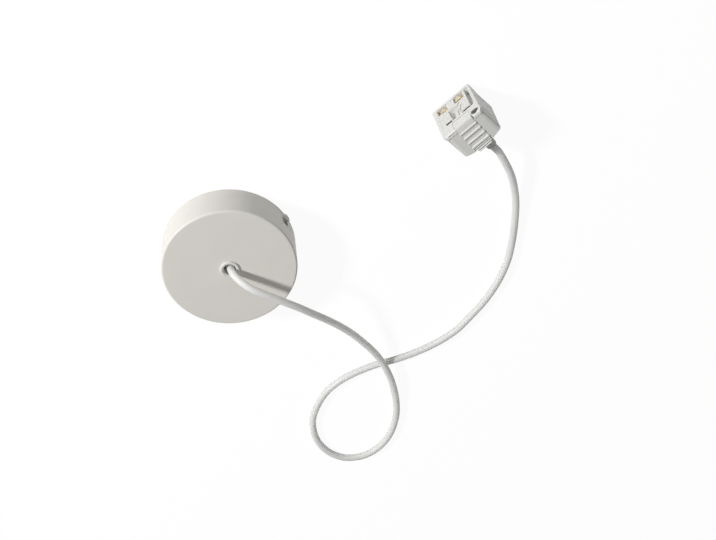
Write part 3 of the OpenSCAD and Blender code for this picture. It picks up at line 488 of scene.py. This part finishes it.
def prism(outline, start, end, across=False):
    """A solid of an outline in width and height that runs between two depths.

    With across, the outline is in depth and height, and the solid runs across the width."""
    work = bmesh.new()
    near, far = [[work.verts.new((place, a, b) if across else (a, place, b)) for a, b in outline]
                 for place in (start, end)]
    work.faces.new(near)
    work.faces.new(list(reversed(far)))
    for i in range(len(outline)):
        work.faces.new((near[i - 1], far[i - 1], far[i], near[i]))
    bmesh.ops.recalc_face_normals(work, faces=work.faces)
    return work


def block(low, high):
    """A box between two corners, each as width, depth and height."""
    (x0, y0, z0), (x1, y1, z1) = low, high
    return prism([(x0, z0), (x1, z0), (x1, z1), (x0, z1)], y0, y1)


def slot_outline(width, height, middle):
    """A slot with round ends, round the point middle."""
    reach, radius = (width - height) / 2, height / 2
    points = []
    for side in (1, -1):
        for i in range(ARC_STEPS + 1):
            angle = side * (math.pi * i / ARC_STEPS - math.pi / 2)
            points.append((middle[0] + side * (reach + radius * math.cos(angle)),
                           middle[1] + radius * math.sin(angle)))
    return points


def joined(work, tool, operation):
    """Cuts a solid out of a mesh, or adds one to it."""
    objects = []
    for part in (work, tool):
        mesh = bpy.data.meshes.new("trial")
        part.to_mesh(mesh)
        objects.append(bpy.data.objects.new("trial", mesh))
        bpy.context.scene.collection.objects.link(objects[-1])
    change = objects[0].modifiers.new("change", "BOOLEAN")
    change.operation, change.solver, change.object = operation, "EXACT", objects[1]
    result = objects[0].evaluated_get(bpy.context.evaluated_depsgraph_get())
    mesh = bpy.data.meshes.new_from_object(result)
    work.clear()
    work.from_mesh(mesh)
    bpy.data.meshes.remove(mesh)
    for trial in objects:
        data = trial.data
        bpy.data.objects.remove(trial)
        bpy.data.meshes.remove(data)
    tool.free()


def refined(work, change):
    """Lets a function refine a mesh in millimetres of the connector's own frame."""
    own = (Matrix.Translation(CONNECTOR_PLACE) @ Matrix.Rotation(CONNECTOR_TURN, 4, "Z")
           @ Matrix.Scale(MM, 4))
    bmesh.ops.transform(work, matrix=own.inverted(), verts=work.verts)
    change(work)
    bmesh.ops.dissolve_degenerate(work, dist=NEAR, edges=work.edges)
    bmesh.ops.transform(work, matrix=own, verts=work.verts)


def eased_copy(node, name, width, corner=EASED_CORNER, before=None, after=None):
    """Adds a copy of a node's solid whose corners are eased as on the real piece.

    before and after are functions that refine the mesh before and after the easing."""
    mesh = bpy.data.meshes.new(name)
    work = bmesh.new()
    work.from_mesh(frame["nodes"][node].data)
    bmesh.ops.remove_doubles(work, verts=work.verts, dist=WELD)
    bmesh.ops.dissolve_limit(work, angle_limit=math.radians(FLAT_ANGLE), verts=work.verts,
                             edges=work.edges)
    if before:
        refined(work, before)
    edges = [e for e in work.edges
             if len(e.link_faces) == 2 and e.calc_face_angle() > math.radians(corner)]
    bmesh.ops.bevel(work, geom=edges, offset=width, offset_type="OFFSET",
                    segments=EASED_SEGMENTS, profile=0.5, affect="EDGES", clamp_overlap=True)
    if after:
        refined(work, after)
    work.to_mesh(mesh)
    work.free()
    for face in mesh.polygons:
        face.use_smooth = True
    mesh.set_sharp_from_angle(angle=math.radians(SHARP_ANGLE))
    piece = new_piece(name, mesh, node)
    weighted = piece.modifiers.new("even_normals", "WEIGHTED_NORMAL")
    weighted.keep_sharp = True


def smooth_line(points, step):
    """A smooth line through points, with its own points about a step apart."""
    pts = [Vector(p) for p in points]
    ends = [2 * pts[0] - pts[1]] + pts + [2 * pts[-1] - pts[-2]]
    line = []
    for a, b, c, d in zip(ends, ends[1:], ends[2:], ends[3:]):
        u, v, w = ((q - p).length ** 0.5 for p, q in ((a, b), (b, c), (c, d)))
        start = v * ((b - a) / u - (c - a) / (u + v) + (c - b) / v)
        end = v * ((c - b) / v - (d - b) / (v + w) + (d - c) / w)
        count = max(1, round((c - b).length / step))
        for i in range(count):
            t = i / count
            line.append((2 * t**3 - 3 * t**2 + 1) * b + (t**3 - 2 * t**2 + t) * start
                        + (3 * t**2 - 2 * t**3) * c + (t**3 - t**2) * end)
    return line + [pts[-1]]


def tube_mesh(name, line, radius, sides, ripple=0.0):
    """A closed tube along a line, with u along it in metres, v round it, and its cores' twist."""
    work = bmesh.new()
    uv = work.loops.layers.uv.new("sheath")
    ways = [(line[min(i + 1, len(line) - 1)] - line[max(i - 1, 0)]).normalized()
            for i in range(len(line))]
    side = ways[0].orthogonal().normalized()
    rings, along, so_far = [], [], 0.0
    for i, (point, way) in enumerate(zip(line, ways)):
        if i:
            side = ways[i - 1].rotation_difference(way) @ side
            so_far += (point - line[i - 1]).length
        side = (side - way * side.dot(way)).normalized()
        other = way.cross(side)
        ring = []
        for k in range(sides):
            angle = 2 * math.pi * k / sides
            swell = ripple * (math.cos(CORES * angle - 2 * math.pi * so_far / CORE_LAY) - 1)
            ring.append(work.verts.new(
                point + (radius + swell) * (math.cos(angle) * side + math.sin(angle) * other)))
        rings.append(ring)
        along.append(so_far)
    for i in range(len(rings) - 1):
        for k in range(sides):
            nxt = (k + 1) % sides
            face = work.faces.new((rings[i][k], rings[i][nxt], rings[i + 1][nxt],
                                   rings[i + 1][k]))
            turns = (k / sides, (k + 1) / sides, (k + 1) / sides, k / sides)
            runs = (along[i], along[i], along[i + 1], along[i + 1])
            for loop, turn, run in zip(face.loops, turns, runs):
                loop[uv].uv = (run, turn)
            face.smooth = True
    work.faces.new(list(reversed(rings[0])))
    work.faces.new(rings[-1])
    mesh = bpy.data.meshes.new(name)
    work.to_mesh(mesh)
    work.free()
    return mesh


def connector_point(depth, height, across=0.0):
    """A point of the connector's own frame, in the row frame."""
    turn = Matrix.Rotation(CONNECTOR_TURN, 3, "Z")
    return CONNECTOR_PLACE + turn @ Vector((across, depth, height))


def cord_line():
    """Middle line of the cord from end to end."""
    route = CORD_ROUTE + [connector_point(*p) for p in CORD_IN_CONNECTOR]
    return smooth_line(route, CORD_STEP)


def lead_line(start, out, between, end, way, place):
    """Middle line of a lead, drawn as one smooth curve between two short straight ends."""
    a, da, b, db = (Vector(v) * MM for v in (start, out, end, way))
    u, v = da.normalized(), db.normalized()
    hull = ([a + LEAD_OUT * MM * u, a + LEAD_OUT * MM * u + da]
            + [Vector(m) * MM for m in between]
            + [b - LEAD_IN * MM * v - db, b - LEAD_IN * MM * v])
    line = [a]
    for i in range(LEAD_STEPS + 1):
        points = hull
        while len(points) > 1:
            points = [p.lerp(q, i / LEAD_STEPS) for p, q in zip(points, points[1:])]
        line.append(points[0])
    return [place(point) for point in line + [b]]


def in_connector(point):
    """From the connector's own frame to the row frame."""
    return connector_point(point.y, point.z, point.x)


def spring_line():
    """Middle line of the slide's spring, an even helix."""
    line = []
    count = SPRING["turns"] * SPRING_STEPS
    for i in range(count + 1):
        angle = 2 * math.pi * i / SPRING_STEPS
        depth = SPRING["start"] + (SPRING["end"] - SPRING["start"]) * i / count
        line.append(connector_point(depth, SPRING["height"] + SPRING["coil"] * math.sin(angle),
                                    SPRING["coil"] * math.cos(angle)))
    return line


def run_length(line):
    """Length of a line along its points."""
    return sum((b - a).length for a, b in zip(line, line[1:]))


# Stage


def area_light(name, place, size, power):
    """A white light that faces the feed's middle."""
    data = bpy.data.lights.new(name, "AREA")
    data.shape = "RECTANGLE"
    data.size, data.size_y = size
    data.energy = power
    lamp = bpy.data.objects.new(name, data)
    bpy.context.scene.collection.objects.link(lamp)
    lamp.location = place
    ahead = Vector(LIT_PLACE) - Vector(place)
    lamp.rotation_euler = ahead.to_track_quat("-Z", "Y").to_euler()


def camera_turn(heading, down, roll):
    """Rotation of a camera from its plan heading, its tilt down and its roll, in radians."""
    ahead = Vector((math.sin(heading) * math.cos(down), math.cos(heading) * math.cos(down),
                    -math.sin(down)))
    right = Vector((math.cos(heading), -math.sin(heading), 0.0))
    upright = right.cross(ahead)
    turn = Matrix((right, upright, -ahead)).transposed()
    return turn @ Matrix.Rotation(roll, 3, "Z")


def seen_rays(nodes, links):
    """One for what is looked at, mirrored or seen through, and zero for light on things."""
    rays = nodes.new("ShaderNodeLightPath")
    total = rays.outputs["Is Camera Ray"]
    for kind in ("Is Glossy Ray", "Is Transmission Ray"):
        either = nodes.new("ShaderNodeMath")
        either.operation = "MAXIMUM"
        links.new(total, either.inputs[0])
        links.new(rays.outputs[kind], either.inputs[1])
        total = either.outputs[0]
    return total


def floor_finish():
    """Pale floor that is seen almost white, and keeps a light shadow."""
    s = Shader("pale_floor")
    s.plain(Roughness=FLOOR_ROUGHNESS, Base_Color=colours().floor)
    glow = s.node("ShaderNodeEmission", Color=WHITE, Strength=GLOW_STRENGTH)
    seen = s.node("ShaderNodeMixShader", Fac=GLOW_SHARE)
    s.join(s.surface.outputs["BSDF"], seen.inputs[1])
    s.join(glow.outputs["Emission"], seen.inputs[2])
    mixed = s.node("ShaderNodeMixShader")
    s.join(seen_rays(s.nodes, s.links), mixed.inputs["Fac"])
    s.join(s.surface.outputs["BSDF"], mixed.inputs[1])
    s.join(seen.outputs["Shader"], mixed.inputs[2])
    s.join(mixed.outputs["Shader"], s.nodes["Material Output"].inputs["Surface"])
    return s.material


def white_room(strength):
    """A room that is seen white and lights the feed at another strength."""
    world = bpy.data.worlds.new("white_room")
    bpy.context.scene.world = world
    world.use_nodes = True
    nodes, links = world.node_tree.nodes, world.node_tree.links
    seen, lighting = nodes.new("ShaderNodeBackground"), nodes["Background"]
    for background, brightness in ((seen, 1.0), (lighting, strength)):
        background.inputs["Color"].default_value = WHITE
        background.inputs["Strength"].default_value = brightness
    mixed = nodes.new("ShaderNodeMixShader")
    links.new(seen_rays(nodes, links), mixed.inputs["Fac"])
    links.new(lighting.outputs[0], mixed.inputs[1])
    links.new(seen.outputs[0], mixed.inputs[2])
    links.new(mixed.outputs[0], nodes["World Output"].inputs["Surface"])


class FEED_OT_camera(bpy.types.Operator):
    """Set up the camera at the photograph's viewing angle"""

    bl_idname = "feed.camera"
    bl_label = "Camera"

    def execute(self, context):
        data = bpy.data.cameras.new("camera")
        data.lens = context.scene.feed_stage.lens
        data.sensor_width = SENSOR_WIDTH
        data.clip_start, data.clip_end = CLIP_RANGE
        camera = bpy.data.objects.new("camera", data)
        context.scene.collection.objects.link(camera)
        turn = camera_turn(math.radians(CAMERA_HEADING), math.radians(CAMERA_DOWN),
                           math.radians(CAMERA_ROLL))
        camera.matrix_world = Matrix.Translation(CAMERA_PLACE) @ turn.to_4x4()
        context.scene.camera = camera
        return {"FINISHED"}


class FEED_OT_stage(bpy.types.Operator):
    """Lay the pale floor and set up the soft studio light"""

    bl_idname = "feed.stage"
    bl_label = "Stage"

    def execute(self, context):
        stage = context.scene.feed_stage
        mesh = bpy.data.meshes.new("floor")
        far = FLOOR_REACH
        mesh.from_pydata([(-far, -far, 0), (far, -far, 0), (far, far, 0), (-far, far, 0)], [],
                         [(0, 1, 2, 3)])
        floor = bpy.data.objects.new("floor", mesh)
        context.scene.collection.objects.link(floor)
        floor.location.z = -FLOOR_DROP
        mesh.materials.append(floor_finish())
        white_room(stage.room)
        area_light("key_light", KEY_PLACE, KEY_SIZE, stage.key)
        area_light("fill_light", FILL_PLACE, FILL_SIZE, stage.fill)
        context.scene.view_settings.view_transform = "Standard"
        return {"FINISHED"}


# Pieces


class FEED_OT_cord(bpy.types.Operator):
    """Lay the round cord along its route, from the canopy to the connector"""

    bl_idname = "feed.cord"
    bl_label = "Cord"

    def execute(self, context):
        mesh = tube_mesh("round_cord", cord_line(), sizes().cord_diameter / 2, CORD_SIDES,
                         sizes().cord_ripple)
        new_piece("round_cord", mesh, "supply_cord")
        return {"FINISHED"}


class FEED_OT_canopy(bpy.types.Operator):
    """Finish the canopy cup, its strap and its side screws"""

    bl_idname = "feed.canopy"
    bl_label = "Canopy"

    def execute(self, context):
        eased_copy("canopy_cup", "coated_canopy", sizes().sheet_edge, corner=ROUND_CORNER)
        eased_copy("mounting_strap", "steel_strap", sizes().sheet_edge)
        eased_copy("side_screws", "canopy_screws", sizes().screw_edge)
        return {"FINISHED"}


class FEED_OT_bushing(bpy.types.Operator):
    """Finish the cord's bushing, its nut and the clamp under it"""

    bl_idname = "feed.bushing"
    bl_label = "Cord bushing and clamp"

    def execute(self, context):
        eased_copy("cord_bushing", "flared_bushing", sizes().screw_edge, corner=ROUND_CORNER)
        eased_copy("bushing_nut", "hex_nut", sizes().moulded_edge)
        for node in ("cord_clamp_left", "cord_clamp_right"):
            eased_copy(node, "moulded_" + node, sizes().moulded_edge)
        eased_copy("cord_clamp_screws", "clamp_screws", sizes().screw_edge)
        return {"FINISHED"}


class FEED_OT_terminals(bpy.types.Operator):
    """Finish the terminal block, its brass and its screws, and the earth point"""

    bl_idname = "feed.terminals"
    bl_label = "Terminals"

    def execute(self, context):
        eased_copy("terminal_block", "moulded_terminal_block", sizes().moulded_edge)
        eased_copy("terminal_tubes", "brass_tubes", sizes().screw_edge)
        for node in ("terminal_screws", "block_screws", "earth_screw", "earth_ring"):
            eased_copy(node, "plated_" + node, sizes().screw_edge)
        return {"FINISHED"}


class FEED_OT_leads(bpy.types.Operator):
    """Finish the inner leads of the canopy and the connector"""

    bl_idname = "feed.leads"
    bl_label = "Leads"

    def execute(self, context):
        for leads, place in ((LEADS, Vector), (CONNECTOR_LEADS, in_connector)):
            for node, course in leads.items():
                mesh = tube_mesh("insulated_" + node, lead_line(*course, place),
                                 sizes().lead_diameter / 2, LEAD_SIDES)
                new_piece("insulated_" + node, mesh, node)
        return {"FINISHED"}


def eased_step(value, low, high):
    """Runs smoothly from 0 at low to 1 at high."""
    t = min(1.0, max(0.0, (value - low) / (high - low)))
    return t * t * (3 - 2 * t)


def drafted(work):
    """Moulding draft of the housing's sides, which run on from the collar without a step."""
    for v in work.verts:
        x, y, z = v.co
        if y < COLLAR_BACK and x > 0:
            v.co.x -= (RIGHT_COLLAR_DRAFT * eased_step(x, *RIGHT_COLLAR)
                       * eased_step(y, *RIGHT_COLLAR_DEPTHS))
        elif x > 0:
            v.co.x += (RIGHT_BODY_SWELL - RIGHT_BODY_SLOPE * y) * eased_step(x, *BODY_WALL)
        elif y < COLLAR_BACK:
            v.co.x += (eased_step(-x, *LEFT_COLLAR)
                       * (1 - eased_step(z, *LEFT_COLLAR_HEIGHTS)))
        else:
            v.co.x -= (LEFT_BODY_SLOPE * (y - LEFT_BODY_START) * (1 + LEFT_BODY_SPREAD * z)
                       * eased_step(-x, *BODY_WALL))


def housing_form(work):
    """Deep guide hole in the housing's corner and the fine groove behind its front edge."""
    joined(work, prism(slot_outline(**GUIDE_HOLE), *GUIDE_HOLE_DEPTHS), "DIFFERENCE")
    joined(work, block(*GUIDE_WELL), "DIFFERENCE")
    joined(work, block(*COLLAR_GROOVE), "DIFFERENCE")
    drafted(work)


class FEED_OT_housing(bpy.types.Operator):
    """Finish the connector's housing, rear cover and strain relief"""

    bl_idname = "feed.housing"
    bl_label = "Connector housing"

    def execute(self, context):
        eased_copy("connector_shell", "moulded_housing", sizes().moulded_edge,
                   before=housing_form)
        eased_copy("rear_cover", "moulded_rear_cover", sizes().moulded_edge, before=drafted)
        eased_copy("strain_relief", "soft_strain_relief", sizes().moulded_edge)
        eased_copy("cover_screws", "plated_cover_screws", sizes().screw_edge)
        for node in ("relief_clamp_lower", "relief_clamp_upper"):
            eased_copy(node, "moulded_" + node, sizes().moulded_edge)
        eased_copy("relief_clamp_screws", "plated_relief_screws", sizes().screw_edge)
        return {"FINISHED"}


def carrier_form(work):
    """Blocks that stand close to the mouth's walls, and a narrow slit for the earth blade."""
    for v in work.verts:
        if abs(v.co.z - UNDERSIDE) < NEAR and v.co.y < BLOCK_BACK:
            v.co.z = LOWERED_UNDERSIDE
            v.co.y -= TOE_SHIFT * (v.co.y < TOE_BACK)
        if abs(v.co.x - BLOCK_SIDE) < NEAR:
            v.co.x = WIDER_SIDE
        if v.co.x > FLUSH_BLOCK_SIDE and v.co.y < FRONT_LEAN * v.co.z - FRONT_FOOT:
            v.co.y -= FLUSH_SHIFT
    for side in (-1, 1):
        middle = SLIT_MIDDLE + side * CHEEK_OFFSET
        corners = [(middle + sign * CHEEK_HALF, depth, height)
                   for sign, depth, height in zip((-1, 1), CHEEK_DEPTHS, CHEEK_HEIGHTS)]
        joined(work, block(*corners), "UNION")
    joined(work, prism(FILLED_CORNER, *FILLED_CORNER_SIDES, across=True), "UNION")


def thumb_taper(depth):
    """Share of the full width that the slide's thumb end keeps at a depth."""
    return 1 - TAPER * max(0.0, (depth - TAPER_START) / TAPER_LENGTH) ** TAPER_POWER


def thumb_form(work):
    """Flattens the top of the slide's thumb end, and narrows it towards its round back."""
    joined(work, block(*THUMB_CUT), "DIFFERENCE")
    for depth in THUMB_RINGS:
        bmesh.ops.bisect_plane(work, geom=work.verts[:] + work.edges[:] + work.faces[:],
                               plane_co=(0, depth, 0), plane_no=(0, 1, 0),
                               dist=THUMB_RING_REACH)
    for v in work.verts:
        if v.co.z > THUMB_HEIGHT or v.co.y > THUMB_BACK:
            v.co.x *= thumb_taper(v.co.y)
    bmesh.ops.remove_doubles(work, verts=work.verts, dist=THUMB_WELD)


def thumb_ridges(work):
    """Adds three fine ridges across the slide's thumb end."""
    for depth, height in RIDGES:
        half = RIDGE_HALF * thumb_taper(depth)
        angles = [i * 2 * math.pi / RIDGE_SIDES for i in range(RIDGE_SIDES)]
        round_bar = [(depth + RIDGE_RADIUS * math.cos(angle),
                      height + RIDGE_RADIUS * math.sin(angle)) for angle in angles]
        joined(work, prism(round_bar, -half, half, across=True), "UNION")


class FEED_OT_contacts(bpy.types.Operator):
    """Finish the contact carrier and its bowed brass contacts"""

    bl_idname = "feed.contacts"
    bl_label = "Contacts"

    def execute(self, context):
        eased_copy("contact_carrier", "moulded_carrier", sizes().screw_edge,
                   before=carrier_form)
        for node in ("live_contact", "neutral_contact", "earth_contact"):
            eased_copy(node, "brass_" + node, sizes().screw_edge)
        eased_copy("contact_screws", "plated_contact_screws", sizes().screw_edge)
        return {"FINISHED"}


class FEED_OT_slide(bpy.types.Operator):
    """Finish the ribbed locking slide and its spring"""

    bl_idname = "feed.slide"
    bl_label = "Locking slide"

    def execute(self, context):
        eased_copy("locking_slide", "ribbed_slide", sizes().moulded_edge, before=thumb_form,
                   after=thumb_ridges)
        mesh = tube_mesh("coiled_spring", spring_line(), sizes().spring_wire / 2, SPRING_SIDES)
        spring = new_piece("coiled_spring", mesh, "slide_spring")
        # The spring's seat, and a point one metre behind it, give the way in which the slide
        # moves
        seat = connector_point(SPRING["end"], SPRING["height"])
        way = connector_point(SPRING["end"] + 1, SPRING["height"]) - seat
        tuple(way[:])
        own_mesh(spring)
        return {"FINISHED"}


class FEED_OT_declare(bpy.types.Operator):
    bl_idname = "feed.declare"
    bl_label = "Declare cord"

    def execute(self, context):
        line = cord_line()
        run_length(line)
        return {"FINISHED"}


OPERATORS = [FEED_OT_camera, FEED_OT_cord, FEED_OT_stage, FEED_OT_canopy, FEED_OT_bushing,
             FEED_OT_terminals, FEED_OT_leads, FEED_OT_housing, FEED_OT_contacts,
             FEED_OT_slide, FEED_OT_declare]


class FEED_PT_panel(bpy.types.Panel):
    """Lists the pieces and their sizes and colours"""

    bl_idname = "FEED_PT_panel"
    bl_label = "Power feed"
    bl_space_type = "VIEW_3D"
    bl_region_type = "UI"
    bl_category = "Power feed"

    def draw(self, context):
        for operator in OPERATORS:
            self.layout.operator(operator.bl_idname)
        for group in (context.scene.feed_sizes, context.scene.feed_colours,
                      context.scene.feed_stage):
            box = self.layout.box()
            for name in group.__annotations__:
                box.prop(group, name)


CLASSES = [FeedSizes, FeedColours, FeedStage, *OPERATORS, FEED_PT_panel]


def register():
    for cls in CLASSES:
        bpy.utils.register_class(cls)
    bpy.types.Scene.feed_sizes = bpy.props.PointerProperty(type=FeedSizes)
    bpy.types.Scene.feed_colours = bpy.props.PointerProperty(type=FeedColours)
    bpy.types.Scene.feed_stage = bpy.props.PointerProperty(type=FeedStage)


def unregister():
    del bpy.types.Scene.feed_stage
    del bpy.types.Scene.feed_colours
    del bpy.types.Scene.feed_sizes
    for cls in reversed(CLASSES):
        bpy.utils.unregister_class(cls)


def main():
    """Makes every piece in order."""
    register()
    for operator in OPERATORS:
        group, name = operator.bl_idname.split(".")
        getattr(getattr(bpy.ops, group), name)()


if __name__ == "__main__":
    main()
